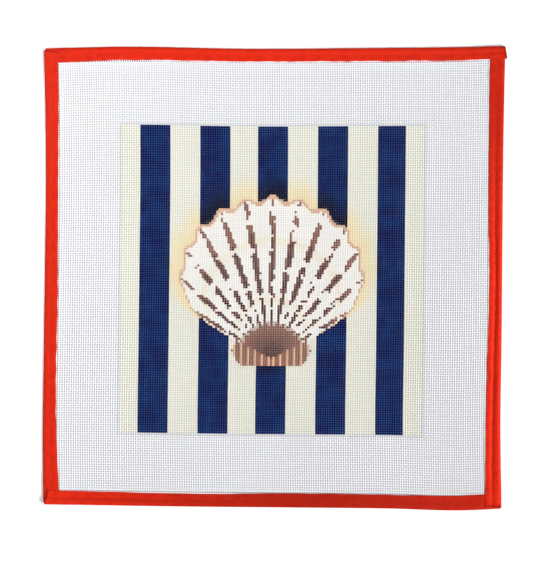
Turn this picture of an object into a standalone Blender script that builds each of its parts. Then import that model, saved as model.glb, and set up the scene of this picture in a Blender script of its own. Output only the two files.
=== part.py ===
"""A needlepoint canvas with a bound edge.

A square of stiff woven cotton lies flat. A strip of cotton tape is folded over each of its four
edges, and each strip laps over the next one at a corner. Metres, with +Z up and the sheet's top
edge towards +Y. The origin is under the middle of the sheet, on the surface that it lies on.
"""

import math

import bmesh
import bpy
import numpy as np
from mathutils import Matrix, Vector

MM = 0.001
OBJECT_NAME = "bound_needlepoint_canvas"

# Driving dimensions
WIDTH = 383 * MM
HEIGHT = 385 * MM
CANVAS_THICKNESS = 0.7 * MM
TAPE_THICKNESS = 0.4 * MM
CLEARANCE = 0.3 * MM  # between one layer and the next
CANVAS_INSET = 2 * MM  # from the tape's fold to the canvas's cut edge
END_INSET = 1.2 * MM  # from a strip's covered end to the fold of the strip that covers it
END_ROUNDING = 1.5 * MM  # of a covered end's outer corner

# At a corner one strip covers the other, so it opens wider there and lifts the sheet
LAP_LENGTH = 13 * MM
LAP_TAPER = 4 * MM
CORNER_FLAT = 18 * MM  # how far from the corner the sheet stays lifted
CORNER_FALL = 45 * MM  # how far from the corner it is down again

# What follows from them
INNER_HALF = CANVAS_THICKNESS / 2 + CLEARANCE
OUTER_HALF = INNER_HALF + TAPE_THICKNESS
LAP_GROWTH = CLEARANCE + TAPE_THICKNESS
MID_PLANE = OUTER_HALF

# How far each hand-cut edge stands out from the nominal square, in millimetres, at places from
# -1 to 1 along it: left to right, or bottom to top
EDGE_BOW = {
    "left": ((-1, 0.8), (-0.7, 1.2), (-0.3, 0.3), (0.06, -0.6), (0.43, -1.4), (0.71, -1), (1, 0.3)),
    "right": ((-1, -0.7), (-0.6, -1.5), (-0.33, -0.7), (0.19, 0.2), (0.58, 1), (1, 2.5)),
    "top": ((-1, -1.2), (-0.7, 0.3), (-0.1, -1.4), (0.45, -0.7), (0.85, 0.2), (1, 0.9)),
    "bottom": ((-1, -2.7), (-0.4, -0.9), (0.1, 0), (0.5, 0.8), (0.85, 2.3), (1, 0.8)),
}

# How wide the tape shows on each side, in millimetres, at the same places
TAPE_WIDTH = {
    "left": ((-1, 12), (-0.7, 10.6), (-0.3, 9.9), (0.3, 10), (1, 10.6)),
    "right": ((-1, 12.3), (-0.65, 11.8), (-0.3, 10), (0.2, 11.1), (1, 12.4)),
    "top": ((-1, 11.5), (-0.7, 10.7), (0, 10), (0.5, 10.3), (1, 10.8)),
    "bottom": ((-1, 11.3), (0, 11.3), (0.85, 12.1), (1, 12.1)),
}

# Each strip starts at the corner where it laps over the next one. Its corner's signs, the way it
# runs, the way to the middle, and how far its cut end stays inside the neighbour's edge, in
# millimetres, at its fold and at its inner edge
STRIPS = {
    "top": ((1, 1), (-1, 0), (0, -1), (0.5, -1.5)),
    "right": ((1, -1), (0, 1), (-1, 0), (0.8, 2.9)),
    "bottom": ((-1, -1), (1, 0), (0, 1), (0.8, 4.6)),
    "left": ((-1, 1), (0, -1), (1, 0), (1.7, 4.2)),
}

# Where the grids have their lines: close together near the corners, where the sheet bends
NEAR_CORNER_MM = (6, 9, 13, 14.3, 15.7, 17, 20, 25, 30, 36, 42, 48)
MIDDLE_STEPS = 14
CANVAS_LINES_MM = (9, 18, 22, 27, 32, 38, 46)
CANVAS_MIDDLE_STEPS = 8
FOLD_STEPS = 6  # around the fold
FLAT_STEPS = 2  # across each face of the tape


def curve_through(points, places):
    """A smooth curve's values at some places, through hand-set (place, millimetres) points."""
    at, value = np.array(points, float).T
    places = np.clip(places, at[0], at[-1])
    slope = np.gradient(value, at)
    i = np.clip(np.searchsorted(at, places, side="right") - 1, 0, len(at) - 2)
    step = at[i + 1] - at[i]
    t = (places - at[i]) / step
    start = (1 + 2 * t) * (1 - t) ** 2 * value[i] + t * (1 - t) ** 2 * step * slope[i]
    end = t**2 * (3 - 2 * t) * value[i + 1] - t**2 * (1 - t) * step * slope[i + 1]
    return (start + end) * MM


def smooth_step(t):
    """A blend from 0 to 1 with level ends."""
    t = np.clip(t, 0, 1)
    return t * t * (3 - 2 * t)


def lay(x, y, z):
    """Carry points of the nominal flat square to where they lie on the uneven one."""
    u = x / (WIDTH / 2)
    v = y / (HEIGHT / 2)
    left, right = (curve_through(EDGE_BOW[side], v) for side in ("left", "right"))
    bottom, top = (curve_through(EDGE_BOW[side], u) for side in ("bottom", "top"))
    from_corner = np.hypot(WIDTH / 2 - np.abs(x), HEIGHT / 2 - np.abs(y))
    fall = (CORNER_FALL - from_corner) / (CORNER_FALL - CORNER_FLAT)
    return np.stack(
        [
            x + (1 + u) / 2 * right - (1 - u) / 2 * left,
            y + (1 + v) / 2 * top - (1 - v) / 2 * bottom,
            z + MID_PLANE + LAP_GROWTH * smooth_step(fall),
        ],
        axis=-1,
    )


def fold_section():
    """The tape's section: for each point, its share of the way to the inner edge, its turn around
    the fold in radians, and whether it is on a flat face (top 1, bottom -1) or the fold (0)."""
    flat = np.linspace(1, 0, FLAT_STEPS, endpoint=False)
    turn = np.linspace(0, math.pi, FOLD_STEPS + 1)
    above = [(share, 0.0, 1) for share in flat]
    around = [(0.0, angle, 0) for angle in turn]
    below = [(share, math.pi, -1) for share in flat[::-1]]
    return above + around + below


def stations(length, near, steps):
    """Places from one end of a length to the other, close together near both ends."""
    close = np.array(near) * MM
    middle = np.linspace(close[-1], length - close[-1], steps + 1)[1:-1]
    return np.concatenate([[0], close, middle, length - close[::-1], [length]])


def grid_object(name, points, thickness, material):
    """An object from a grid of points, an open surface made solid."""
    rows, columns = points.shape[:2]
    mesh = bpy.data.meshes.new(name)
    bm = bmesh.new()
    bmesh.ops.create_grid(bm, x_segments=columns - 1, y_segments=rows - 1, size=1)
    for vertex in bm.verts:
        row = round((vertex.co.y + 1) / 2 * (rows - 1))
        column = round((vertex.co.x + 1) / 2 * (columns - 1))
        vertex.co = Vector(points[row, column])
    bm.to_mesh(mesh)
    bm.free()
    mesh.materials.append(material)
    mesh.shade_smooth()
    sheet = bpy.data.objects.new(name, mesh)
    solid = sheet.modifiers.new("Thickness", "SOLIDIFY")
    solid.thickness = thickness
    solid.offset = 0
    solid.use_even_offset = True
    return sheet


def make_strip(side, material):
    """One strip of tape, folded over an edge of the canvas."""
    corner, run, inward, trims = STRIPS[side]
    corner = np.array(corner) * (WIDTH / 2, HEIGHT / 2)
    length = abs(run[0]) * WIDTH + abs(run[1]) * HEIGHT
    along = stations(length, NEAR_CORNER_MM, MIDDLE_STEPS)
    from_start = -1 if sum(run) < 0 else 1
    width = curve_through(TAPE_WIDTH[side], from_start * (2 * along / length - 1))
    growth = LAP_GROWTH * smooth_step((LAP_LENGTH + LAP_TAPER - along) / LAP_TAPER)
    half = INNER_HALF + TAPE_THICKNESS / 2 + growth
    points = []
    for share, angle, face in fold_section():
        bend = half + TAPE_THICKNESS / 2
        reach = bend - half * math.sin(angle) if face == 0 else bend + share * (width - bend)
        height = half * (math.cos(angle) if face == 0 else face)
        place = along.copy()
        trim = trims[0] + (trims[1] - trims[0]) * reach[0] / width[0]
        round_off = max(0, END_ROUNDING - reach[-1])
        round_off = END_ROUNDING - math.sqrt(END_ROUNDING**2 - round_off**2)
        place[0] = trim * MM
        place[-1] = length - END_INSET - round_off
        x = corner[0] + run[0] * place + inward[0] * reach
        y = corner[1] + run[1] * place + inward[1] * reach
        points.append(lay(x, y, height))
    return grid_object(f"binding_{side}", np.array(points), TAPE_THICKNESS, material)


def make_canvas(material):
    """The woven sheet, which ends inside the folded tape."""
    size = (WIDTH - 2 * CANVAS_INSET, HEIGHT - 2 * CANVAS_INSET)
    across, up = (stations(side, CANVAS_LINES_MM, CANVAS_MIDDLE_STEPS) - side / 2 for side in size)
    x, y = np.meshgrid(across, up)
    return grid_object("canvas", lay(x, y, np.zeros_like(x)), CANVAS_THICKNESS, material)


def cloth_material(name, colour, roughness):
    """A plain matt cloth."""
    material = bpy.data.materials.new(name)
    material.use_nodes = True
    shader = material.node_tree.nodes["Principled BSDF"]
    shader.inputs["Base Color"].default_value = (*colour, 1)
    shader.inputs["Roughness"].default_value = roughness
    shader.inputs["Metallic"].default_value = 0
    return material


def box_middle(objects):
    """The middle of the objects' box, seen from above."""
    graph = bpy.context.evaluated_depsgraph_get()
    corners = [Vector(corner) for thing in objects for corner in thing.evaluated_get(graph).bound_box]
    low, high = (Vector(map(pick, *corners)) for pick in (min, max))
    return Vector(((low.x + high.x) / 2, (low.y + high.y) / 2, 0))


def main():
    for thing in list(bpy.data.objects):
        bpy.data.objects.remove(thing, do_unlink=True)
    collection = bpy.data.collections.new(OBJECT_NAME)
    bpy.context.scene.collection.children.link(collection)

    cotton = cloth_material("white_cotton_canvas", (0.84, 0.84, 0.84), 0.9)
    tape = cloth_material("orange_red_cotton_tape", (0.75, 0.04, 0.015), 0.85)
    pieces = [make_canvas(cotton)] + [make_strip(side, tape) for side in STRIPS]
    for piece in pieces:
        collection.objects.link(piece)

    bpy.context.view_layer.update()
    to_origin = Matrix.Translation(-box_middle(pieces))
    for piece in pieces:
        piece.data.transform(to_origin)


main()
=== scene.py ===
"""The looks of a needlepoint canvas: woven cotton mesh, painted in the middle, bound with tape.

The sheet is built from the nominal flat square, in which every thread is straight, and one
function carries each point to where it lies on the uneven, slightly lifted real sheet.
"""

from __future__ import annotations

import logging
import math
from collections.abc import Iterable, Mapping
from dataclasses import dataclass, field
from enum import Enum

import bpy
import numpy as np
from bpy.types import Material, Mesh, Node, NodeSocket, Object
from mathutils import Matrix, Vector


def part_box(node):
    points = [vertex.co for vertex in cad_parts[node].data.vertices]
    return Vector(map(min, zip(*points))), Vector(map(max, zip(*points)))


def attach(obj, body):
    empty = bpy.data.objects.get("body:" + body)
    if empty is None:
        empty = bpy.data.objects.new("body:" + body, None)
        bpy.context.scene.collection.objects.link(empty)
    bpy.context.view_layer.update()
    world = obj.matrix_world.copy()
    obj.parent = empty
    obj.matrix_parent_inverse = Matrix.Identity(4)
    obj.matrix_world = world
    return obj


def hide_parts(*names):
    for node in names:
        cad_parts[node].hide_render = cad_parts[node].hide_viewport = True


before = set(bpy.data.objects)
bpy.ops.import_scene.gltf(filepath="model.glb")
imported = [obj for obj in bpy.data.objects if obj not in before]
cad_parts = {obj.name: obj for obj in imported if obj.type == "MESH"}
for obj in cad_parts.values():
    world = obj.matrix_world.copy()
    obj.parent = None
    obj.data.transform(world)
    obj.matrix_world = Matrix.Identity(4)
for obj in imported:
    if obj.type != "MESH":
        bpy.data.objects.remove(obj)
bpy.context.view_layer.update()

MM = 0.001
LOG = logging.getLogger("needlepoint_canvas")


class Side(Enum):
    """The four bound edges of the sheet."""

    TOP = "top"
    RIGHT = "right"
    BOTTOM = "bottom"
    LEFT = "left"


class Slot(Enum):
    """The material slots of the record."""

    CANVAS = "cotton_canvas"
    TAPE = "binding_tape"


def linear(hex_colour: str) -> tuple[float, float, float, float]:
    """Turn an sRGB hex colour to linear light.

    Args:
        hex_colour: Six hex digits, such as "E8391F".

    Returns:
        Red, green, blue and an alpha of 1.
    """
    parts = [int(hex_colour[i : i + 2], 16) / 255 for i in (0, 2, 4)]
    light = [c / 12.92 if c <= 0.04045 else ((c + 0.055) / 1.055) ** 2.4 for c in parts]
    return (*light, 1.0)


def smooth_step(t: np.ndarray) -> np.ndarray:
    """Blend from 0 to 1 with level ends."""
    t = np.clip(t, 0, 1)
    return t * t * (3 - 2 * t)


def curve_through(points: Iterable[tuple[float, float]], places: np.ndarray) -> np.ndarray:
    """Read a smooth curve through given points.

    Args:
        points: Pairs of a place and a value in millimetres, in rising places.
        places: Where to read the curve.

    Returns:
        The values there, in metres.
    """
    at, value = np.array(points, float).T
    places = np.clip(places, at[0], at[-1])
    slope = np.gradient(value, at)
    i = np.clip(np.searchsorted(at, places, side="right") - 1, 0, len(at) - 2)
    step = at[i + 1] - at[i]
    t = (places - at[i]) / step
    start = (1 + 2 * t) * (1 - t) ** 2 * value[i] + t * (1 - t) ** 2 * step * slope[i]
    end = t**2 * (3 - 2 * t) * value[i + 1] - t**2 * (1 - t) * step * slope[i + 1]
    return (start + end) * MM


@dataclass(frozen=True)
class Unevenness:
    """A smooth random height, the sum of a few plane waves."""

    height: float
    length: float
    seed: int
    waves: int = 9

    def at(self, x: np.ndarray, y: np.ndarray) -> np.ndarray:
        """Read the height.

        Args:
            x: First coordinates, in metres.
            y: Second coordinates, in metres.

        Returns:
            Heights in metres, mostly within plus or minus the height.
        """
        draw = np.random.default_rng(self.seed)
        total = np.zeros(np.broadcast(x, y).shape)
        for _ in range(self.waves):
            turn, phase = draw.uniform(0, 2 * math.pi, 2)
            wave = 2 * math.pi / (self.length * draw.uniform(0.6, 1.7))
            total += np.sin(wave * (x * math.cos(turn) + y * math.sin(turn)) + phase)
        return self.height * total / math.sqrt(self.waves)


@dataclass(frozen=True)
class SheetForm:
    """The form of the whole sheet: its cut outline, and how it lies on the table."""

    width: float = 383 * MM
    height: float = 385 * MM
    canvas_inset: float = 2 * MM
    fold_height: float = 0.95 * MM  # of the middle layer, at the tape's fold
    inner_height: float = 1.27 * MM  # and inside the tape, which holds it off the table
    slope_length: float = 13 * MM
    lap_lift: float = 0.68 * MM  # at the corners, where the tape is doubled
    corner_flat: float = 18 * MM
    corner_fall: float = 30 * MM
    left: tuple = (
        (-1, 0.8), (-0.7, 1.2), (-0.3, 0.3), (0.06, -0.6), (0.43, -1.4), (0.71, -1), (1, 0.3),
    )
    right: tuple = ((-1, -0.7), (-0.6, -1.5), (-0.33, -0.7), (0.19, 0.2), (0.58, 1), (1, 2.5))
    top: tuple = ((-1, -1.2), (-0.7, 0.3), (-0.1, -1.4), (0.45, -0.7), (0.85, 0.2), (1, 0.9))
    bottom: tuple = ((-1, -2.7), (-0.4, -0.9), (0.1, 0), (0.5, 0.8), (0.85, 2.3), (1, 0.8))
    undulation: Unevenness = Unevenness(0.07 * MM, 90 * MM, 3)

    def spread(self, x: np.ndarray, y: np.ndarray) -> tuple[np.ndarray, np.ndarray]:
        """Carry points of the nominal square outwards to the uneven outline.

        Args:
            x: Places across the nominal square, in metres.
            y: Places up it.

        Returns:
            The places on the real sheet, before it is centred on the origin.
        """
        u, v = x / (self.width / 2), y / (self.height / 2)
        left, right = curve_through(self.left, v), curve_through(self.right, v)
        bottom, top = curve_through(self.bottom, u), curve_through(self.top, u)
        return (
            x + (1 + u) / 2 * right - (1 - u) / 2 * left,
            y + (1 + v) / 2 * top - (1 - v) / 2 * bottom,
        )

    def middle_height(self, x: np.ndarray, y: np.ndarray) -> np.ndarray:
        """Find how high the sheet's middle layer lies over the table."""
        across, up = self.width / 2 - np.abs(x), self.height / 2 - np.abs(y)
        rise = smooth_step(np.minimum(across, up) / self.slope_length)
        fall = (self.corner_fall - np.hypot(across, up)) / (self.corner_fall - self.corner_flat)
        inside = self.inner_height - self.fold_height + self.undulation.at(x, y)
        return self.fold_height + inside * rise + self.lap_lift * smooth_step(fall)

    def origin(self) -> np.ndarray:
        """Find the part's origin on the uneven sheet, from where the frame has the canvas."""
        steps = np.linspace(-1, 1, 401)
        x = steps * (self.width / 2 - self.canvas_inset)
        y = steps * (self.height / 2 - self.canvas_inset)
        sides = [self.spread(np.full_like(y, edge), y)[0] for edge in (x[0], x[-1])]
        ends = [self.spread(x, np.full_like(x, edge))[1] for edge in (y[0], y[-1])]
        low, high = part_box("canvas")
        return np.array(
            [
                (sides[0].min() + sides[1].max() - low[0] - high[0]) / 2,
                (ends[0].min() + ends[1].max() - low[1] - high[1]) / 2,
            ]
        )


@dataclass
class Sheet:
    """The sheet in the part's own frame."""

    form: SheetForm = field(default_factory=SheetForm)

    def __post_init__(self) -> None:
        """Fit the sheet to the frame."""
        self.origin = self.form.origin()

    def lay(self, x: np.ndarray, y: np.ndarray, z: np.ndarray) -> np.ndarray:
        """Carry points of the nominal flat square to where they lie.

        Args:
            x: Places across the nominal square, in metres.
            y: Places up it.
            z: Heights over its middle layer.

        Returns:
            An array of points, with one more axis than its arguments.
        """
        over, up = self.form.spread(x, y)
        height = z + self.form.middle_height(x, y)
        return np.stack([over - self.origin[0], up - self.origin[1], height], axis=-1)


@dataclass
class MeshDraft:
    """Points and faces on their way to becoming one mesh."""

    points: list[np.ndarray] = field(default_factory=list)
    places: list[np.ndarray] = field(default_factory=list)
    faces: list[np.ndarray] = field(default_factory=list)
    layers: list[np.ndarray] = field(default_factory=list)
    count: int = 0

    def add(
        self,
        points: np.ndarray,
        places: np.ndarray,
        faces: list[np.ndarray],
        layers: int | np.ndarray = 0,
    ) -> None:
        """Add one part.

        Args:
            points: Its points, three numbers each.
            places: For each point, where it is in the pattern that its finish draws.
            faces: Arrays of point numbers, one array for each number of corners.
            layers: For each face, a number that sets it apart from faces above or below it.
        """
        self.points.append(points.reshape(-1, 3))
        self.places.append(places.reshape(-1, 3))
        self.faces += [face + self.count for face in faces]
        self.layers.append(np.broadcast_to(layers, sum(len(face) for face in faces)))
        self.count += self.points[-1].shape[0]

    def build(self, name: str, material: Material) -> Object:
        """Make the mesh and its object.

        Args:
            name: The piece's name.
            material: What it is finished with.

        Returns:
            The new piece, linked to the scene.
        """
        mesh = bpy.data.meshes.new(name)
        points = np.concatenate(self.points)
        corners = np.concatenate([face.ravel() for face in self.faces])
        sizes = np.concatenate([np.full(len(face), face.shape[1]) for face in self.faces])
        mesh.vertices.add(len(points))
        mesh.vertices.foreach_set("co", points.ravel())
        mesh.loops.add(len(corners))
        mesh.loops.foreach_set("vertex_index", corners.astype(np.int32))
        mesh.polygons.add(len(sizes))
        mesh.polygons.foreach_set("loop_start", np.cumsum(sizes) - sizes)
        mesh.update(calc_edges=True)
        mesh.shade_smooth()
        sharpen_ends(mesh, sizes)
        place = mesh.attributes.new("place", "FLOAT_VECTOR", "POINT")
        place.data.foreach_set("vector", np.concatenate(self.places).ravel())
        mesh.materials.append(material)
        lay_out_map(mesh, np.concatenate(self.layers))
        piece = bpy.data.objects.new(name, mesh)
        bpy.context.scene.collection.objects.link(piece)
        return piece


def read_all(items: object, name: str, kind: type, width: int = 1) -> np.ndarray:
    """Read a property of all the points, corners or faces of a mesh.

    Args:
        items: The points, corners or faces.
        name: The property.
        kind: The type of its numbers.
        width: How many numbers each item has.

    Returns:
        One row for each item.
    """
    values = np.empty((len(items), width), kind)
    items.foreach_get(name, values.reshape(-1))
    return values.squeeze()


def sharpen_ends(mesh: Mesh, sizes: np.ndarray) -> None:
    """Keep the edges round the closing faces crisp, so that tubes meet end to end unseen.

    Args:
        mesh: The mesh, made of tubes.
        sizes: How many corners each of its faces has. Only a closing face hasn't four.
    """
    edges = read_all(mesh.loops, "edge_index", np.int32)
    sharp = np.zeros(len(mesh.edges), bool)
    sharp[edges[np.repeat(sizes != 4, sizes)]] = True
    mesh.attributes.new("sharp_edge", "BOOLEAN", "EDGE").data.foreach_set("value", sharp)


def lay_out_map(mesh: Mesh, layers: np.ndarray) -> None:
    """Lay a mesh's faces out for baking, as seen from above, in bands one over the other.

    Args:
        mesh: The mesh that gets the map.
        layers: The number of each face's layer. A layer has a band for the faces that look up
            and one for the rest.
    """
    points = read_all(mesh.vertices, "co", float, 3)
    corners = read_all(mesh.loops, "vertex_index", np.int32)
    normals = read_all(mesh.polygons, "normal", float, 3)
    sizes = read_all(mesh.polygons, "loop_total", np.int32)
    flat = points[:, :2] + 0.3 * points[:, 2:]  # a slight slant opens the upright faces
    span = np.ptp(flat, axis=0)
    share = ((flat - flat.min(0)) / span)[corners]
    if span[1] > span[0]:
        share = share[:, ::-1]
    band = np.repeat(2 * layers + (normals[:, 2] > 0), sizes)
    margin = 0.004
    share = margin + share * (1 - 2 * margin)
    share[:, 1] = (share[:, 1] + band) / (2 * layers.max() + 2)
    mesh.uv_layers.new(name="OFBake").uv.foreach_set("vector", share.astype(np.float32).ravel())


def tube_faces(tubes: int, rings: int, sides: int, flip: bool) -> list[np.ndarray]:
    """Number the faces of a row of closed tubes.

    Args:
        tubes: How many tubes there are.
        rings: How many rings each has.
        sides: How many points each ring has.
        flip: Whether to turn the faces the other way.

    Returns:
        The side faces, and the faces that close the ends.
    """
    ring = np.arange(sides)
    after = np.roll(ring, -1)
    start = np.arange(tubes * rings).reshape(tubes, rings) * sides
    a, b = start[:, :-1, None] + ring, start[:, :-1, None] + after
    walls = np.stack([a, b, b + sides, a + sides], axis=-1).reshape(-1, 4)
    ends = np.concatenate([start[:, :1] + ring[::-1], start[:, -1:] + ring])
    return [walls[:, ::-1], ends[:, ::-1]] if flip else [walls, ends]


class Recipe:
    """A material's nodes in the making."""

    choices = {
        "Math": "operation",
        "VectorMath": "operation",
        "Mix": "data_type",
        "MapRange": "interpolation_type",
    }

    def __init__(self, name: str) -> None:
        """Start a material with only its output."""
        self.material = bpy.data.materials.new(name)
        self.material.use_nodes = True
        self.tree = self.material.node_tree
        self.tree.nodes.clear()

    def add(self, kind: str, inputs: Mapping | Iterable = (), **settings: object) -> Node:
        """Add a node, set it and link it.

        Args:
            kind: The node's type, without its "ShaderNode". The node's main choice may follow
                it after a full stop.
            inputs: Numbers, hex colours, sockets or nodes for its sockets, in order or by name.
            **settings: Its own properties.

        Returns:
            The new node.
        """
        kind, _, choice = kind.partition(".")
        node = self.tree.nodes.new("ShaderNode" + kind)
        if choice:
            setattr(node, self.choices[kind], choice)
        for name, value in settings.items():
            setattr(node, name, value)
        pairs = inputs.items() if isinstance(inputs, Mapping) else enumerate(inputs)
        for key, value in pairs:
            if isinstance(value, str):
                value = linear(value)
            if isinstance(value, Node):
                value = next(output for output in value.outputs if output.enabled)
            if isinstance(value, NodeSocket):
                self.tree.links.new(value, node.inputs[key])
            else:
                node.inputs[key].default_value = value
        return node

    def finish(self, shader: Node) -> Material:
        """Link the shader to the output and give the material."""
        self.add("OutputMaterial", (shader,))
        return self.material


@dataclass(frozen=True)
class PaintedCottonFinish:
    """Sized cotton mono canvas, painted by hand with acrylics, one thread crossing at a time.

    Cotton thread is matt and a little fluffy, and the paint on it is thin, a little glossier and
    uneven in tone. The eye sees stepped edges, because each crossing takes one colour. The sides
    and undersides of the threads are drawn dark grey, a painted shade. The place attribute
    counts threads from the middle of the painting: across, up, and the height in the weave.
    """

    cotton: str = "F5F5F8"
    # a painted shade for the sides and undersides of the threads
    painted_thread_shade: str = "4E4E57"
    navy: str = "02154A"
    navy_light: str = "06295C"
    navy_deep: str = "080D24"
    cream: str = "E8E6D9"
    honey: str = "F0DFB2"
    shell_white: str = "F1EFEA"
    tan: str = "D8B193"
    brown: str = "8E6253"
    umber: str = "573A36"
    pencil: str = "A9A7AC"

    half_square: float = 65.5  # threads from the painting's middle to its edge
    band_every: float = 25.6
    band_half: float = 6.4
    band_shift: float = 0.3
    hinge_drop: float = 33.0
    fan_reach: float = 68.0
    fan_spread: float = 1.4
    fan_round: float = 0.25
    ribs: float = 36.0  # to the full turn
    halo: float = 12.0
    growth_rings: float = 17.0  # radians from the hinge to the margin
    whole_rib: float = 0.57
    rim: float = 1.6
    knob: tuple[float, float] = (12.0, 17.0)
    ear_rise: float = 3.0
    ear_half: tuple[float, float] = (17.5, 6.5)  # across and up
    flute: float = 2.1

    def build(self) -> Material:
        """Make the material.

        Returns:
            The painted canvas's material.
        """
        r = Recipe("painted_cotton_canvas")
        place = r.add("Attribute", attribute_name="place").outputs["Vector"]
        half = r.add("VectorMath.ADD", (place, (0.5, 0.5, 0)))
        crossing = r.add("VectorMath.FLOOR", (half,))
        split = r.add("SeparateXYZ", (crossing,))
        across, up = split.outputs[0], split.outputs[1]
        seen = self.polar(r, across, up)
        paint = self.ground(r, across, up, seen)
        paint = self.scallop(r, across, seen, paint)
        colour, painted = self.inside_square(r, crossing, paint)
        return self.surface(r, place, colour, painted)

    def navy_at(self, across: np.ndarray, up: np.ndarray) -> np.ndarray:
        """Find the crossings in the navy bands, where the paint is thickest.

        Args:
            across: Columns, counted from the painting's middle.
            up: Rows, likewise.

        Returns:
            True where the crossing is navy.
        """
        half = self.band_every / 2
        off = np.abs((across - self.band_shift + half) % self.band_every - half)
        rise = up + self.hinge_drop
        turn = np.clip(self.fan_spread * np.arctan2(across, rise), -math.pi / 2, math.pi / 2)
        edge = self.fan_reach * np.maximum(np.cos(turn), 0) ** self.fan_round
        inside = np.maximum(np.abs(across), np.abs(up)) < self.half_square
        return inside & (off < self.band_half) & (np.hypot(across, rise) > edge)

    def ground(self, r: Recipe, across: object, up: object, seen: tuple) -> Node:
        """Paint the bands behind the motif, deeper and warmer near it.

        Args:
            r: The material in the making.
            across: The crossing's column.
            up: The crossing's row.
            seen: Its place seen from the hinge, as polar() gives it.

        Returns:
            The colour.
        """
        _, distance, _, edge, _ = seen
        away = r.add("Math.SUBTRACT", (distance, edge))
        near = r.add("MapRange.SMOOTHSTEP", (away, 0.0, self.halo, 1.0, 0.0))
        half_band = self.band_every / 2
        place = r.add("Math.SUBTRACT", (across, self.band_shift))
        place = r.add("Math.WRAP", (place, half_band, -half_band))
        off = r.add("Math.ABSOLUTE", (place,))
        is_navy = r.add("Math.LESS_THAN", (off, self.band_half))
        spread = r.add("CombineXYZ", (across, up, 0.0))
        strokes = r.add(
            "TexNoise", {"Vector": spread, "Scale": 0.13, "Detail": 3.0}, noise_dimensions="2D"
        )
        tone = r.add("MapRange", (strokes.outputs[0], 0.38, 0.66))
        navy = r.add("Mix.RGBA", {0: tone, 6: self.navy, 7: self.navy_light})
        navy = r.add("Mix.RGBA", {0: near, 6: navy, 7: self.navy_deep})
        cream = r.add("Mix.RGBA", {0: near, 6: self.cream, 7: self.honey})
        return r.add("Mix.RGBA", {0: is_navy, 6: cream, 7: navy})

    def polar(self, r: Recipe, across: object, up: object) -> tuple[Node, ...]:
        """Find a crossing's place seen from the shell's hinge.

        Args:
            r: The material in the making.
            across: The crossing's column.
            up: The crossing's row.

        Returns:
            Its rise over the hinge, its distance, its angle, the fan's edge at that angle and
            the ripple of the ribs there.
        """
        rise = r.add("Math.ADD", (up, self.hinge_drop))
        angle = r.add("Math.ARCTAN2", (across, rise))
        offset = r.add("CombineXYZ", (across, rise, 0.0))
        distance = r.add("VectorMath.LENGTH", (offset,)).outputs["Value"]
        spread = r.add("Math.MULTIPLY", (angle, self.fan_spread))
        turned = r.add("Math.COSINE", (spread,))
        wide = r.add("Math.ABSOLUTE", (spread,))
        ahead = r.add("Math.LESS_THAN", (wide, math.pi / 2))
        open_part = r.add("Math.MULTIPLY", (turned, ahead))
        rounded = r.add("Math.POWER", (open_part, self.fan_round))
        ripple = r.add("Math.MULTIPLY", (angle, self.ribs))
        ripple = r.add("Math.COSINE", (ripple,))
        lobes = r.add("Math.MULTIPLY_ADD", (ripple, 0.02, 1.0))
        edge = r.add("Math.MULTIPLY", (rounded, lobes))
        edge = r.add("Math.MULTIPLY", (edge, self.fan_reach))
        return rise, distance, angle, edge, ripple

    def scallop(self, r: Recipe, across: object, seen: tuple, below: Node) -> Node:
        """Paint a scallop shell: white, with brown ribs that fan out from a dark hinge.

        Args:
            r: The material in the making.
            across: The crossing's column.
            seen: Its place seen from the hinge, as polar() gives it.
            below: The colour that it is painted on.

        Returns:
            The colour.
        """
        rise, distance, angle, edge, ripple = seen
        share = r.add("Math.DIVIDE", (distance, edge))
        is_fan = r.add("Math.LESS_THAN", (distance, edge))

        # Growth rings, in honey
        rings = r.add("Math.MULTIPLY", (share, self.growth_rings))
        rings = r.add("Math.COSINE", (rings,))
        rings = r.add("MapRange", (rings, 0.8, 1.0, 0.0, 0.35))
        body = r.add("Mix.RGBA", {0: rings, 6: self.shell_white, 7: self.honey})

        # Brown ribs, narrower and broken towards the margin
        narrowing = r.add("Math.POWER", (share, 3.0))
        limit = r.add("Math.MULTIPLY_ADD", (narrowing, 0.95, 0.1))
        is_rib = r.add("Math.GREATER_THAN", (ripple, limit))
        spot = r.add("Math.MULTIPLY", (angle, 9.0))
        spot = r.add("CombineXYZ", (spot, distance, 0.0))
        spot = r.add("VectorMath.MULTIPLY", (spot, (1.0, 0.2, 0.0)))
        gaps = r.add(
            "TexNoise", {"Vector": spot, "Scale": 1.0, "Detail": 1.0}, noise_dimensions="2D"
        )
        is_whole = r.add("Math.LESS_THAN", (gaps.outputs[0], self.whole_rib))
        is_brown = r.add("Math.MULTIPLY", (is_rib, is_whole))
        deep = r.add("Math.ADD", (limit, 0.45))
        is_deep = r.add("Math.GREATER_THAN", (ripple, deep))
        rib = r.add("Mix.RGBA", {0: is_deep, 6: self.brown, 7: self.umber})
        body = r.add("Mix.RGBA", {0: is_brown, 6: body, 7: rib})

        # The hinge end and the outline
        knob = r.add("MapRange.STEPPED", (distance, *self.knob, 1.0, 0.0, 2.0))
        tone = r.add("MapRange", (distance, 4.0, 13.0))
        umbo = r.add("Mix.RGBA", {0: tone, 6: self.umber, 7: self.brown})
        body = r.add("Mix.RGBA", {0: knob, 6: body, 7: umbo})
        rim = r.add("Math.SUBTRACT", (edge, distance))
        is_rim = r.add("Math.LESS_THAN", (rim, self.rim))
        body = r.add("Mix.RGBA", {0: is_rim, 6: body, 7: self.tan})

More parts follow.
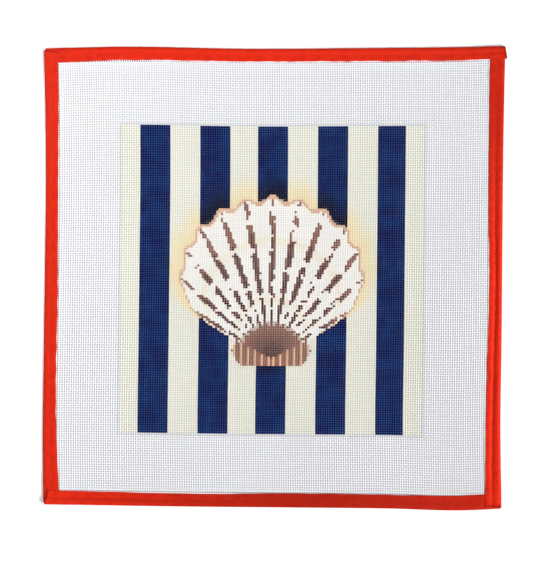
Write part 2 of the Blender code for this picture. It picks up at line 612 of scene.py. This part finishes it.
        # The two ears beside the hinge
        level = r.add("Math.SUBTRACT", (rise, self.ear_rise))
        level = r.add("Math.ABSOLUTE", (level,))
        side = r.add("Math.ABSOLUTE", (across,))
        slant = r.add("Math.MULTIPLY_ADD", (level, 0.6, side))
        is_wide = r.add("Math.LESS_THAN", (slant, self.ear_half[0]))
        is_level = r.add("Math.LESS_THAN", (level, self.ear_half[1]))
        is_ear = r.add("Math.MULTIPLY", (is_wide, is_level))
        fluted = r.add("Math.MULTIPLY", (side, self.flute))
        fluted = r.add("Math.SINE", (fluted,))
        is_flute = r.add("Math.GREATER_THAN", (fluted, 0.2))
        ear = r.add("Mix.RGBA", {0: is_flute, 6: self.brown, 7: self.tan})
        paint = r.add("Mix.RGBA", {0: is_ear, 6: below, 7: ear})
        return r.add("Mix.RGBA", {0: is_fan, 6: paint, 7: body})

    def inside_square(self, r: Recipe, crossing: Node, paint: Node) -> tuple[Node, Node]:
        """Keep the paint inside its square, with a pencil line round it.

        Args:
            r: The material in the making.
            crossing: The crossing's column and row.
            paint: The painting's colour there.

        Returns:
            The colour, and a mask that is 1 where there is paint.
        """
        size = r.add("VectorMath.ABSOLUTE", (crossing,))
        split = r.add("SeparateXYZ", (size,))
        out = r.add("Math.MAXIMUM", (split.outputs[0], split.outputs[1]))
        painted = r.add("Math.LESS_THAN", (out, self.half_square))
        colour = r.add("Mix.RGBA", {0: painted, 6: self.cotton, 7: paint})
        line = r.add("Math.COMPARE", (out, self.half_square + 0.5, 0.5))
        faint = r.add("Math.MULTIPLY", (line, 0.3))
        return r.add("Mix.RGBA", {0: faint, 6: colour, 7: self.pencil}), painted

    def surface(self, r: Recipe, place: NodeSocket, colour: Node, painted: Node) -> Material:
        """Put the paint on cotton thread.

        Args:
            r: The material in the making.
            place: The place attribute.
            colour: The colour of each crossing.
            painted: A mask that is 1 where there is paint.

        Returns:
            The whole material.
        """
        # Size and paint were brushed on from above: the paint reaches further down the sides of
        # painted threads. The sides and undersides of the threads are drawn dark grey, a painted
        # shade for the shade between and under them.
        facing = r.add("SeparateXYZ", (r.add("NewGeometry").outputs["Normal"],)).outputs[2]
        facing_and_paint = r.add("Math.MULTIPLY_ADD", (painted, 0.38, facing))
        paint_reach_and_shade = r.add("MapRange", (facing_and_paint, -0.1, 0.92, 0.0, 1.0))
        colour = r.add("Mix.RGBA", {0: paint_reach_and_shade, 6: self.painted_thread_shade, 7: colour})
        # Fibre tufts: cotton yarn of about 0.5 mm, drawn with flecks of the same size
        flecks = r.add("TexNoise", {"Vector": place, "Scale": 4.0, "Detail": 2.0})
        fleck_tone = r.add("MapRange", (flecks.outputs[0], 0.3, 0.7, 0.9, 1.06))
        colour = r.add("Mix.RGBA", {0: 1.0, 6: colour, 7: fleck_tone}, blend_type="MULTIPLY")
        roughness = r.add("MapRange", (painted, 0.0, 1.0, 0.9, 0.62))
        bump = r.add("Bump", {"Strength": 0.35, "Distance": 0.0001, "Height": flecks.outputs[0]})
        shader = r.add(
            "BsdfPrincipled",
            {
                "Base Color": colour,
                "Roughness": roughness,
                "Normal": bump,
                "IOR": 1.5,
                "Specular IOR Level": 0.12,
            },
        )
        return r.finish(shader)


@dataclass(frozen=True)
class CottonTapeFinish:
    """Cotton twill tape, dyed orange-red and folded with an iron.

    Dyed cotton is matt with a soft sheen. Its twill shows as fine slanting lines, and the canvas
    threads below press ribs into it where it lies close on them; both are drawn darker in their
    grooves and lighter on their crests, a painted shade and light. Some lengths are drawn paler and
    some deeper, which is painted light and shade. The place attribute is the distance along the
    strip and across it, in metres, and how firmly it is pressed. The painted_light_and_shade
    attribute is that tone along each strip.
    """

    dye: str = "C7220A"
    dye_deep: str = "B71C07"
    dye_light: str = "D32A0C"
    twill_pitch: float = 2.0 * MM  # real twill is under 1 mm, too fine to show, so it is coarser
    twill_height: float = 0.02 * MM
    rib_pitch: float = 25.4 / 13 * MM  # the canvas's own thread spacing
    rib_height: float = 0.12 * MM
    fluff_height: float = 0.1 * MM

    def build(self) -> Material:
        """Make the material.

        Returns:
            The tape's material.
        """
        r = Recipe("orange_red_cotton_tape")
        place = r.add("Attribute", attribute_name="place").outputs["Vector"]
        split = r.add("SeparateXYZ", (place,))
        along, across, pressed = split.outputs
        slant = r.add("Math.ADD", (along, across))
        waves = []
        for value, pitch in ((slant, self.twill_pitch), (along, self.rib_pitch)):
            turn = r.add("Math.MULTIPLY", (value, 2 * math.pi / pitch))
            waves.append(r.add("Math.SINE", (turn,)))
        twill, rib = waves
        ribbed = r.add("Math.MULTIPLY", (rib, pressed))
        fluff = r.add("TexNoise", {"Vector": place, "Scale": 900.0, "Detail": 3.0})
        relief = r.add("Math.MULTIPLY", (twill, self.twill_height))
        relief = r.add("Math.MULTIPLY_ADD", (ribbed, self.rib_height, relief))
        relief = r.add("Math.MULTIPLY_ADD", (fluff.outputs[0], self.fluff_height, relief))
        cloudy = r.add("TexNoise", {"Vector": place, "Scale": 140.0, "Detail": 3.0})
        tone = r.add("MapRange", (cloudy.outputs[0], 0.35, 0.65))
        colour = r.add("Mix.RGBA", {0: tone, 6: self.dye_deep, 7: self.dye_light})
        colour = r.add("Mix.RGBA", {0: 0.5, 6: colour, 7: self.dye})
        # Painted shade and light: the colour is darker in the twill's grooves and between the ribs,
        # and lighter on the ribs' crests
        lines = r.add("MapRange", (twill, -1.0, 1.0, 0.92, 1.0))
        painted_shading = r.add("Math.MULTIPLY_ADD", (ribbed, 0.08, lines))
        # Painted light and shade along each strip multiplies the colour too
        painted_light_and_shade = r.add("Attribute", attribute_name="painted_light_and_shade").outputs["Fac"]
        painted_shading = r.add("Math.MULTIPLY", (painted_shading, painted_light_and_shade))
        colour = r.add("Mix.RGBA", {0: 1.0, 6: colour, 7: painted_shading}, blend_type="MULTIPLY")
        bump = r.add("Bump", {"Strength": 1.0, "Distance": 1.0, "Height": relief})
        shader = r.add(
            "BsdfPrincipled",
            {
                "Base Color": colour,
                "Roughness": 0.5,
                "Normal": bump,
                "IOR": 1.5,
                "Specular IOR Level": 0.08,
            },
        )
        return r.finish(shader)


@dataclass(frozen=True)
class SewingThreadFinish:
    """Mercerised cotton sewing thread, dyed to match: smoother and shinier than the tape.

    The place attribute is the distance along each stitch and round it, in metres.
    """

    dye: str = "C2230B"
    # used for a painted shade between the strands of the ply
    dye_deep: str = "9C1604"
    ply_pitch: float = 0.7 * MM

    def build(self) -> Material:
        """Make the material.

        Returns:
            The thread's material.
        """
        r = Recipe("orange_red_sewing_thread")
        place = r.add("Attribute", attribute_name="place").outputs["Vector"]
        split = r.add("SeparateXYZ", (place,))
        slant = r.add("Math.ADD", (split.outputs[0], split.outputs[1]))
        turn = r.add("Math.MULTIPLY", (slant, 2 * math.pi / self.ply_pitch))
        ply = r.add("Math.SINE", (turn,))
        # Painted shade: the thread is drawn darker where its ply sinks, between the strands
        tone = r.add("MapRange", (ply, -1.0, 1.0))
        colour = r.add("Mix.RGBA", {0: tone, 6: self.dye_deep, 7: self.dye})
        bump = r.add("Bump", {"Strength": 0.4, "Distance": 0.00005, "Height": ply})
        shader = r.add(
            "BsdfPrincipled",
            {"Base Color": colour, "Roughness": 0.55, "Normal": bump, "IOR": 1.5},
        )
        return r.finish(shader)


@dataclass
class MonoCanvas:
    """The woven cotton mesh, thread by thread, in bands that join end to end."""

    sheet: Sheet
    paint: PaintedCottonFinish
    columns: int = 191
    rows: int = 189
    column_pitch: float = 1.93 * MM
    row_pitch: float = 1.97 * MM
    middle: tuple[float, float] = (-1.3 * MM, 0.1 * MM)
    paint_row: float = -1.0  # the painting's middle, in rows from the middle row
    thread_width: float = 0.93 * MM
    thread_height: float = 0.79 * MM
    sway: float = 0.06 * MM  # up and down over the threads that it crosses
    swell: float = 0.38  # of a thread under thick paint
    sides: int = 5
    bands: int = 4
    end: float = 3 * MM  # how far a thread runs past the last one that crosses it
    seed: int = 13

    def wander(self, threads: int, crossings: int) -> np.ndarray:
        """Give each thread small swings to its sides, as shares of the pitch.

        Args:
            threads: How many threads there are.
            crossings: How many places each is read at.

        Returns:
            An array of threads by crossings.
        """
        draw = np.random.default_rng(self.seed + threads)
        steps = np.arange(crossings)
        swing = np.zeros((threads, crossings))
        for length in (11, 29, 83):
            phase = draw.uniform(0, 2 * math.pi, (threads, 1))
            swing += draw.normal(0, 0.011, (threads, 1)) * np.sin(steps / length * 6 + phase)
        return swing + draw.normal(0, 0.008, (threads, 1))

    def widths(self, threads: int, crossings: int) -> np.ndarray:
        """Give each thread its width at each crossing, with slubs here and there."""
        draw = np.random.default_rng(self.seed + 2 * threads)
        each = draw.normal(1, 0.025, (threads, 1))
        slub = draw.normal(0, 1, (threads, crossings))
        slub = (slub + np.roll(slub, 1, 1) + np.roll(slub, 2, 1)) / 3
        return each + 0.03 * slub

    def threads(self, lengthwise: bool, first_row: int, last_row: int) -> dict[str, np.ndarray]:
        """Find the rings of all the threads one way, within some rows.

        Args:
            lengthwise: True for the threads that run up the sheet.
            first_row: The lowest row.
            last_row: The row after the highest.

        Returns:
            The rings' centres across and up in counts of threads, their heights as shares of
            half a thread, and their widths as shares of the usual one: each threads by rings.
        """
        count, crossings = (self.columns, self.rows) if lengthwise else (self.rows, self.columns)
        lines, steps = np.arange(count)[:, None], np.arange(crossings)
        side = lines + self.wander(count, crossings)
        main = np.broadcast_to(steps, side.shape).astype(float)
        height = (1 if lengthwise else -1) * (-1.0) ** (lines + steps)
        ring = [side, main, height, self.widths(count, crossings)]
        free = first_row == 0, last_row == self.rows
        if lengthwise:
            kept = slice(max(first_row - 1, 0), last_row + 1)
            ring = [a[:, kept].copy() for a in ring]
            for which, row, is_free in zip((0, -1), (first_row, last_row), free):
                if not is_free:
                    ring[1][:, which] = row - 0.5
                    ring[2][:, which] = 0
            spare = self.end / self.row_pitch
            names = "across", "up", "height", "width"
        else:
            ring = [a[first_row:last_row] for a in ring]
            free = True, True
            spare = self.end / self.column_pitch
            names = "up", "across", "height", "width"
        for which, is_free in zip((0, -1), free):
            if is_free:
                edge = [a[:, which][:, None].copy() for a in ring]
                edge[1] += spare if which else -spare
                edge[2] *= 0
                pairs = zip(ring, edge) if which else zip(edge, ring)
                ring = [np.concatenate(pair, axis=1) for pair in pairs]
        return dict(zip(names, ring))

    def add_threads(self, draft: MeshDraft, lengthwise: bool, rings: dict) -> None:
        """Add tubes along rings.

        Args:
            draft: The mesh in the making.
            lengthwise: True for the threads that run up the sheet.
            rings: The rings, as threads() gives them.
        """
        turn = math.pi / 2 + np.arange(self.sides) * 2 * math.pi / self.sides
        half_width = self.thread_width / 2 * rings["width"][..., None]
        # A ring of few points is a little larger than the round thread, to be as wide
        full = 1 / math.cos(math.pi / self.sides / 2)
        side = full * half_width * np.cos(turn)
        lift = self.sway * rings["height"][..., None] + self.thread_height / 2 * full * np.sin(turn)
        column = rings["across"] - (self.columns - 1) / 2
        row = rings["up"] - (self.rows - 1) / 2
        thick = self.paint.navy_at(np.round(column), np.round(row - self.paint_row))
        side = side * (1 + self.swell * thick)[..., None]
        x, y = column[..., None] * self.column_pitch, row[..., None] * self.row_pitch
        x, y = (x + side, y + 0 * side) if lengthwise else (x + 0 * side, y + side)
        place = np.stack(
            [
                x / self.column_pitch,
                y / self.row_pitch - self.paint_row,
                lift / self.thread_height,
            ],
            axis=-1,
        )
        points = self.sheet.lay(x + self.middle[0], y + self.middle[1], lift)
        tubes, count = rings["across"].shape
        faces = tube_faces(tubes, count, self.sides, flip=lengthwise)
        draft.add(points, place, faces)

    def build(self, material: Material) -> list[Object]:
        """Args:
            material: The painted cotton.

        Returns:
            The pieces, from the bottom band to the top one.
        """
        marks = np.linspace(0, self.rows, self.bands + 1).round().astype(int)
        pieces = []
        for number, (first, last) in enumerate(zip(marks, marks[1:]), start=1):
            draft = MeshDraft()
            for lengthwise in (True, False):
                rings = self.threads(lengthwise, int(first), int(last))
                self.add_threads(draft, lengthwise, rings)
            piece = draft.build(f"canvas_weave_{number}", material)
            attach(piece, "root")
            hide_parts("canvas")
            LOG.info("%s: %d threads up, %d across", piece.name, self.columns, last - first)
            pieces.append(piece)
        return pieces


@dataclass(frozen=True)
class Run:
    """How a strip of tape runs, from the corner where it laps over the next strip.

    Trims say how far its cut end stays inside the next strip's fold, in millimetres, at its own
    fold and at its inner edge. The widths of its upper face, the height that its fold puffs up
    to, and how much wider it is below, are in millimetres at places from -1 to 1 along it: left
    to right, or bottom to top. At such places, too, are how deep the crease along its hem is,
    how strongly the canvas threads show through it, and its painted light and shade: a factor
    of about 1 on its colour, below 1 for painted shade and above 1 for painted light.
    """

    corner: tuple[int, int]
    along: tuple[int, int]
    inward: tuple[int, int]
    trims: tuple[float, float]
    width: tuple
    puff: tuple
    wider: tuple
    crease: tuple
    ribs: tuple
    # painted light and shade along the strip, as a factor on its colour
    painted_light_and_shade: tuple
    end_inset: float = 1.2  # of its covered end, inside the fold that covers it, in millimetres


RUNS = {
    Side.TOP: Run(
        (1, 1), (-1, 0), (0, -1), (0.5, -1.5),
        width=(
            (-1, 12.6), (-0.87, 12.2), (-0.76, 11.6), (-0.59, 11.2), (-0.24, 10.9), (0.11, 10.9),
            (0.63, 11.2), (0.87, 11), (0.94, 10.5), (1, 9.9),
        ),
        puff=((-1, 0.9), (-0.6, 1.3), (0, 1.4), (1, 1.0)),
        wider=((-1, 1.2), (-0.6, 1.0), (-0.3, 0.8), (0.3, 1.0), (0.85, 1.1), (0.94, 0.4), (1, 0.4)),
        crease=((-1, 0.45), (0.4, 0.5), (0.9, 0.6), (1, 0.7)),
        ribs=((-1, 0.1), (0, 0.2), (1, 0.3)),
        painted_light_and_shade=((-1, 0.88), (-0.6, 0.93), (0, 0.95), (0.6, 0.92), (1, 0.85)),
    ),
    Side.RIGHT: Run(
        (1, -1), (0, 1), (-1, 0), (1.9, 3.0),
        width=(
            (-1, 13.7), (-0.86, 13.2), (-0.62, 12.2), (-0.3, 11.6), (-0.12, 10.8), (0.06, 10.8),
            (0.25, 11.7), (0.6, 12.1), (1, 12.8),
        ),
        puff=((-1, 1.0), (-0.85, 1.6), (-0.5, 1.9), (0.3, 1.9), (0.6, 1.2), (0.8, 0.6), (1, 0.5)),
        wider=((-1, 1.6), (0, 1.9), (0.6, 1.2), (1, 1.4)),
        crease=((-1, 0.8), (-0.9, 1), (0.3, 1), (0.55, 0.5), (0.75, 0.1), (1, 0)),
        ribs=((-1, 0.4), (-0.5, 0.5), (0.2, 0.9), (0.6, 0.6), (0.8, 0.1), (1, 0)),
        painted_light_and_shade=((-1, 1.1), (-0.5, 1.15), (0, 1.16), (0.35, 1.02), (0.65, 0.82), (1, 0.8)),
    ),
    Side.BOTTOM: Run(
        (-1, -1), (1, 0), (0, 1), (0.8, 4.6),
        width=(
            (-1, 12.1), (-0.76, 11.6), (-0.41, 10.9), (-0.24, 11), (-0.03, 11.7), (0.285, 11.8),
            (0.46, 11.5), (0.7, 12.1), (1, 12.6),
        ),
        puff=((-1, 1.4), (-0.75, 1.8), (-0.45, 1.2), (-0.1, 0.5), (0.5, 0.6), (1, 0.8)),
        wider=((-1, 1.6), (0, 1.8), (1, 1.4)),
        crease=((-1, 1), (-0.6, 1), (-0.3, 0.5), (0, 0), (0.6, 0.1), (1, 0.3)),
        ribs=((-1, 0.2), (0, 0.05), (1, 0.3)),
        painted_light_and_shade=((-1, 0.98), (-0.75, 0.9), (-0.35, 0.71), (0.1, 0.58), (0.6, 0.68), (1, 0.8)),
        end_inset=0.3,
    ),
    Side.LEFT: Run(
        (-1, 1), (0, -1), (1, 0), (1.7, 4.2),
        width=(
            (-1, 13.8), (-0.86, 12.6), (-0.75, 11.7), (-0.44, 10.7), (-0.09, 11), (0.43, 10.5),
            (0.78, 11.2), (1, 11.9),
        ),
        puff=((-1, 0.6), (0, 0.5), (1, 0.6)),
        wider=((-1, 1.2), (-0.5, 1.6), (0, 1.2), (1, 1.6)),
        crease=((-1, 0.2), (0, 0.15), (1, 0.1)),
        ribs=((-1, 0.1), (1, 0.1)),
        painted_light_and_shade=((-1, 0.9), (-0.5, 0.88), (0, 0.87), (1, 0.88)),
    ),
}


@dataclass
class BindingStrip:
    """One strip of tape, folded over an edge, with its raw edges turned under and sewn down.

    Its inner half is pressed flat on the canvas, and its outer half puffs up round the edge.
    """

    sheet: Sheet
    side: Side
    thickness: float = 0.22 * MM
    layer_gap: float = 0.04 * MM
    canvas_half: float = 0.45 * MM
    ridge: float = 2.5 * MM  # from the fold to the highest line of the puffed half
    lap_growth: float = 0.54 * MM  # how much further out it lies over the strip it covers
    lap_length: float = 13 * MM
    lap_taper: float = 5 * MM
    squash: float = 0.65  # of the puff, at the covered end
    end_rounding: float = 1.6 * MM
    end_curl: float = 0.8 * MM  # of the cut end that lies on top
    curl_length: float = 2.5 * MM
    cut_end_shade: float = 0.3  # a painted shade at the cut end, as a factor on its colour
    end_blend: float = 12 * MM  # how far from an end the slant of its cut still shows
    step: float = 1.5 * MM
    seam_inset: float = 1.1 * MM
    seam_dip: float = 0.05 * MM
    stitch_length: float = 2.3 * MM
    stitch_gap: float = 0.45 * MM
    stitch_radius: float = 0.13 * MM

    # The turned-under edge, from the raw edge round its fold to where the tape is single: for
    # each point its distance from the inner edge in millimetres, and its height's share of the
    # way from the lower layer to the upper one
    hem_line: tuple = (
        (4.1, 0), (2.6, 0), (0.5, 0), (0.12, 0.16), (0, 0.5), (0.12, 0.88), (0.5, 1.1),
        (1.1, 1.1), (1.9, 1.9), (3.1, 1.75), (4.1, 1.2), (4.8, 0.6), (5.25, 0.15),
    )

    def __post_init__(self) -> None:
        """Work out the layers' heights over the middle layer, and how the strip runs."""
        self.run = RUNS[self.side]
        self.low = self.canvas_half + self.layer_gap + self.thickness / 2
        self.high = self.low + self.thickness + self.layer_gap
        form = self.sheet.form
        self.length = form.width if self.run.along[0] else form.height
        seed = 20 + 10 * list(Side).index(self.side)
        self.ripple = Unevenness(0.05 * MM, 9 * MM, seed)
        self.pull = Unevenness(0.035 * MM, 4 * MM, seed + 1)
        self.waver = Unevenness(0.16 * MM, 14 * MM, seed + 2)

    def read(self, curve: tuple, along: np.ndarray) -> np.ndarray:
        """Read one of the run's curves.

        Args:
            curve: Pairs of a place and a value in millimetres.
            along: Distances from the lapping end, in metres.

        Returns:
            Values in metres.
        """
        way = -1 if sum(self.run.along) < 0 else 1
        return curve_through(curve, way * (2 * along / self.length - 1))

    def width_at(self, along: np.ndarray) -> np.ndarray:
        """Read how wide the tape's upper face shows."""
        return self.read(self.run.width, along) + self.waver.at(along, 0 * along)

    def growth_at(self, along: np.ndarray) -> np.ndarray:
        """Find how much further out the strip lies, where it covers the next one."""
        past = self.lap_length + self.lap_taper - along
        return self.lap_growth * smooth_step(past / self.lap_taper)

    def middle_line(self, along: np.ndarray) -> tuple[np.ndarray, np.ndarray, np.ndarray]:
        """Follow the tape's middle from one raw edge, over the top, to the other.

        Args:
            along: Distances from the lapping end, in metres.

        Returns:
            Distances in from the fold, heights over the sheet's middle layer, and how firmly
            the tape is pressed on the canvas, from 0 to 1: each points by places.
        """
        growth = self.growth_at(along)
        low, high = self.low + growth, self.high + growth
        width = self.width_at(along)
        below = width + self.read(self.run.wider, along)
        kept = smooth_step((self.length - along - 8 * MM) / (14 * MM))
        puff = self.read(self.run.puff, along) * (1 - self.squash * (1 - kept))
        puff = puff * (1 + 0.16 * self.ripple.at(2 * along, 0 * along) / self.ripple.height)
        crease, ribs = (self.read(c, along) / MM for c in (self.run.crease, self.run.ribs))
        line = []
        for number, (offset, share) in enumerate(self.hem_line):
            flat = share if number < 7 else 1.1 + 0.1 * offset  # where no crease shows
            level = low + (flat + (share - flat) * crease) * (high - low)
            line.append((width - offset * MM, level, ribs))
        crest = self.low + growth + puff + 0.5 * (self.high - self.low)
        for t in (0.07, 0.22, 0.45, 0.7, 1.0):
            reach = (width - 5.4 * MM) * (1 - t) + self.ridge * t
            rise = (crest - level) * math.sin(math.pi / 2 * t)
            line.append((reach, level + rise, 0.6 * (1 - t) * ribs))
        edge = self.thickness / 2
        for turn in np.radians((22, 42, 60, 76, 90)):
            reach = self.ridge - (self.ridge - edge) * math.sin(turn)
            line.append((reach + 0 * along, crest * math.cos(turn), 0.0))
        for turn in np.radians((60, 30, 0)):
            reach = edge + 1.6 * MM * (1 - math.sin(turn))
            line.append((reach + 0 * along, -low * math.cos(turn), 0.0))
        for number in (12, 11, 9, 7, 6, 4, 2, 0):
            offset, share = self.hem_line[number]
            line.append((below - offset * MM, -low - min(share, 1.1) * (high - low), 0.5))
        parts = ([np.broadcast_to(part, along.shape) for part in point] for point in line)
        reach, height, pressed = np.array(list(parts)).transpose(1, 0, 2)
        waves = self.ripple.at(along, reach) + self.pull.at(along, reach)
        upper = np.clip((height - low) / (high - low), 0, 1)
        curl = self.end_curl * np.exp(-((along / self.curl_length) ** 2))
        return reach, height + (waves + curl) * upper, pressed

    def stations(self) -> np.ndarray:
        """Place the rings along the strip, about a step apart."""
        return np.linspace(0, self.length, round(self.length / self.step) + 1)

    def point(self, along: np.ndarray, reach: np.ndarray, height: np.ndarray) -> np.ndarray:
        """Carry places on the strip to the part's frame.

        Args:
            along: Distances along the strip.
            reach: Distances in from its fold.
            height: Heights over the middle layer.

        Returns:
            The points.
        """
        form, run = self.sheet.form, self.run
        x = run.corner[0] * form.width / 2 + run.along[0] * along + run.inward[0] * reach
        y = run.corner[1] * form.height / 2 + run.along[1] * along + run.inward[1] * reach
        return self.sheet.lay(x, y, height)

    def trimmed(self, along: np.ndarray, reach: np.ndarray) -> np.ndarray:
        """Cut both ends: one on a slant, the covered one with a rounded corner.

        Args:
            along: Distances from the lapping end.
            reach: Distances in from the fold.

        Returns:
            New distances along, of the same points.
        """
        at_fold, at_inner = self.run.trims
        start = (at_fold + (at_inner - at_fold) * reach / self.width_at(0 * along)) * MM
        corner = np.clip(self.end_rounding - reach, 0, self.end_rounding)
        cut = self.end_rounding - np.sqrt(self.end_rounding**2 - corner**2)
        near_start = np.clip(1 - along / self.end_blend, 0, 1)
        near_end = np.clip(1 - (self.length - along) / self.end_blend, 0, 1)
        return along + start * near_start - (self.run.end_inset * MM + cut) * near_end

    def cloth(self, material: Material) -> Object:
        """Fold the tape.

        Args:
            material: The dyed cotton.

        Returns:
            The strip.
        """
        along = self.stations()
        reach, height, pressed = self.middle_line(along)
        run_reach, run_height = (
            np.concatenate([a[1:2] - a[:1], a[2:] - a[:-2], a[-1:] - a[-2:-1]])
            for a in (reach, height)
        )
        size = np.hypot(run_reach, run_height)
        out = np.array([run_height, -run_reach]) / size * self.thickness / 2
        middle = np.hypot(*(np.diff(a[:, len(along) // 2]) for a in (reach, height)))
        across = np.concatenate([[0], np.cumsum(middle)])[:, None] + 0 * along
        skins, places = [], []
        for way in (1, -1):
            side = reach + way * out[0], height + way * out[1]
            place = self.trimmed(along + 0 * reach, side[0])
            skins.append(self.point(place, *side)[::way])
            places.append(np.stack([place, across, pressed], axis=-1)[::way])
        rings, ring_places = (np.concatenate(a).swapaxes(0, 1) for a in (skins, places))
        sides = rings.shape[1]
        faces = tube_faces(1, len(along), sides, flip=False)
        hidden = np.arange(len(faces[0])) % sides >= sides // 2
        draft = MeshDraft()
        draft.add(rings, ring_places, faces, np.append(hidden.astype(int), [0, 0]))
        piece = draft.build(f"binding_{self.side.value}_cloth", material)
        tone = piece.data.attributes.new("painted_light_and_shade", "FLOAT", "POINT")
        # Painted light and shade along the strip
        light_and_shade_along = self.read(self.run.painted_light_and_shade, along) / MM
        # The cut end is drawn darker, a painted shade
        light_and_shade_along[0] *= self.cut_end_shade
        tone.data.foreach_set("value", np.repeat(light_and_shade_along, sides))
        return piece

    def stitches(self, material: Material) -> Object:
        """Sew the strip down, on both faces.

        Args:
            material: The sewing thread.

        Returns:
            All of the strip's stitches, as one piece.
        """
        pitch = self.stitch_length + self.stitch_gap
        first, last = 6 * MM, self.length - 12 * MM
        count = int((last - first) / pitch)
        draw = np.random.default_rng(len(self.side.value))
        start = first + pitch * np.arange(count) + draw.normal(0, 0.08 * MM, count)
        along = start[:, None] + self.stitch_length * np.array([0, 0.22, 0.5, 0.78, 1])
        sink = self.stitch_radius * np.array([-1.2, 0.3, 0.55, 0.3, -1.2])
        sideways = draw.normal(0, 0.05 * MM, (count, 1))
        reach = self.width_at(along) - self.seam_inset + sideways
        sides = 5
        turn = np.arange(sides) * 2 * math.pi / sides
        across = self.stitch_radius * np.cos(turn)
        rise = self.stitch_radius * np.sin(turn)
        waves = self.ripple.at(along, reach) + self.pull.at(along, reach)
        tops = {1: self.high - self.seam_dip + waves, -1: self.high}
        draft = MeshDraft()
        for face, top in tops.items():
            surface = top + self.growth_at(along) + self.thickness / 2 + sink
            height = face * (surface[..., None] + rise)
            length = np.broadcast_to(along[..., None], height.shape)
            points = self.point(length, reach[..., None] + across, height)
            around = np.broadcast_to(self.stitch_radius * turn, height.shape)
            place = np.stack([length, around, 0 * around], axis=-1)
            faces = tube_faces(count, along.shape[1], sides, flip=face < 0)
            draft.add(points, place, faces, (1 - face) // 2)
        return draft.build(f"seam_{self.side.value}", material)

    def build(self, tape: Material, thread: Material) -> list[Object]:
        """Args:
            tape: The dyed cotton tape.
            thread: The sewing thread.

        Returns:
            The cloth and the stitches.
        """
        cloth, seam = self.cloth(tape), self.stitches(thread)
        for piece in (cloth, seam):
            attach(piece, "root")
        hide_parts(f"binding_{self.side.value}")
        reach, height, _ = self.middle_line(self.stations())
        return [cloth, seam]


@dataclass
class Studio:
    """The table, the lights and the camera, straight above the sheet."""

    photo_size: tuple[int, int] = (533, 564)
    photo_middle: tuple[float, float] = (274.8, 278.25)  # of the object's outline, in pixels
    pixel: float = 0.8365 * MM
    camera_height: float = 1.6
    sensor: float = 36.0
    floor_colour: str = "F8F8F8"
    sky: float = 0.1
    lamps: tuple = (  # the name, place in metres, width in metres and power in watts
        ("window", (3.16, -1.68, 2.73), 2.2, 332),
        ("left_lamp", (-0.4, 0.2, 0.42), 0.2, 1.6),
        ("low_lamp", (-0.42, -0.2, 0.35), 0.2, 0.4),
        ("top_lamp", (0.06, 0.36, 0.42), 0.2, 0.45),
    )

    def floor(self) -> None:
        """Lay a plain white table top."""
        r = Recipe("white_table_top")
        shader = {
            "Base Color": self.floor_colour,
            "Roughness": 0.9,
            "Specular IOR Level": 0.0,
        }
        material = r.finish(r.add("BsdfPrincipled", shader))
        bpy.ops.mesh.primitive_plane_add(size=8, location=(0, 0, 0))
        floor = bpy.context.object
        floor.name = "table_top"
        floor.data.materials.append(material)

    def light(
        self, name: str, place: tuple[float, float, float], size: float, power: float
    ) -> None:
        """Hang a square soft light that faces the sheet.

        Args:
            name: The light's name.
            place: Where it hangs, in metres.
            size: Its width, in metres.
            power: Its power, in watts.
        """
        data = bpy.data.lights.new(name, "AREA")
        data.shape, data.size, data.energy = "SQUARE", size, power
        lamp = bpy.data.objects.new(name, data)
        lamp.location = place
        lamp.rotation_euler = (-Vector(place)).to_track_quat("-Z", "Y").to_euler()
        bpy.context.scene.collection.objects.link(lamp)

    def world(self) -> None:
        """Fill the shadows with an even white sky."""
        world = bpy.data.worlds.new("even_sky")
        world.use_nodes = True
        sky = world.node_tree.nodes["Background"]
        sky.inputs["Color"].default_value = (1, 1, 1, 1)
        sky.inputs["Strength"].default_value = self.sky
        bpy.context.scene.world = world

    def camera(self) -> None:
        """Look straight down, framed as the photograph is."""
        data = bpy.data.cameras.new("camera")
        data.sensor_width = self.sensor
        data.lens = self.sensor * self.camera_height / (max(self.photo_size) * self.pixel)
        camera = bpy.data.objects.new("camera", data)
        middle = [side / 2 for side in self.photo_size]
        camera.location = (
            (middle[0] - self.photo_middle[0]) * self.pixel,
            (self.photo_middle[1] - middle[1]) * self.pixel,
            self.camera_height,
        )
        bpy.context.scene.collection.objects.link(camera)
        bpy.context.scene.camera = camera

    def build(self) -> None:
        """Set up the studio."""
        self.floor()
        for lamp in self.lamps:
            self.light(*lamp)
        self.world()
        self.camera()
        bpy.context.scene.view_settings.view_transform = "Standard"


def main() -> None:
    """Build the sheet's sub-assemblies in order, and the studio round them."""
    logging.basicConfig(level=logging.INFO, format="%(message)s")
    sheet = Sheet()
    paint = PaintedCottonFinish()
    cotton = paint.build()
    tape = CottonTapeFinish().build()
    thread = SewingThreadFinish().build()
    pieces = MonoCanvas(sheet, paint).build(cotton)
    for side in Side:
        pieces += BindingStrip(sheet, side).build(tape, thread)
    Studio().build()
    LOG.info("%d pieces", len(pieces))
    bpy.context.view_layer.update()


if __name__ == "__main__":
    main()
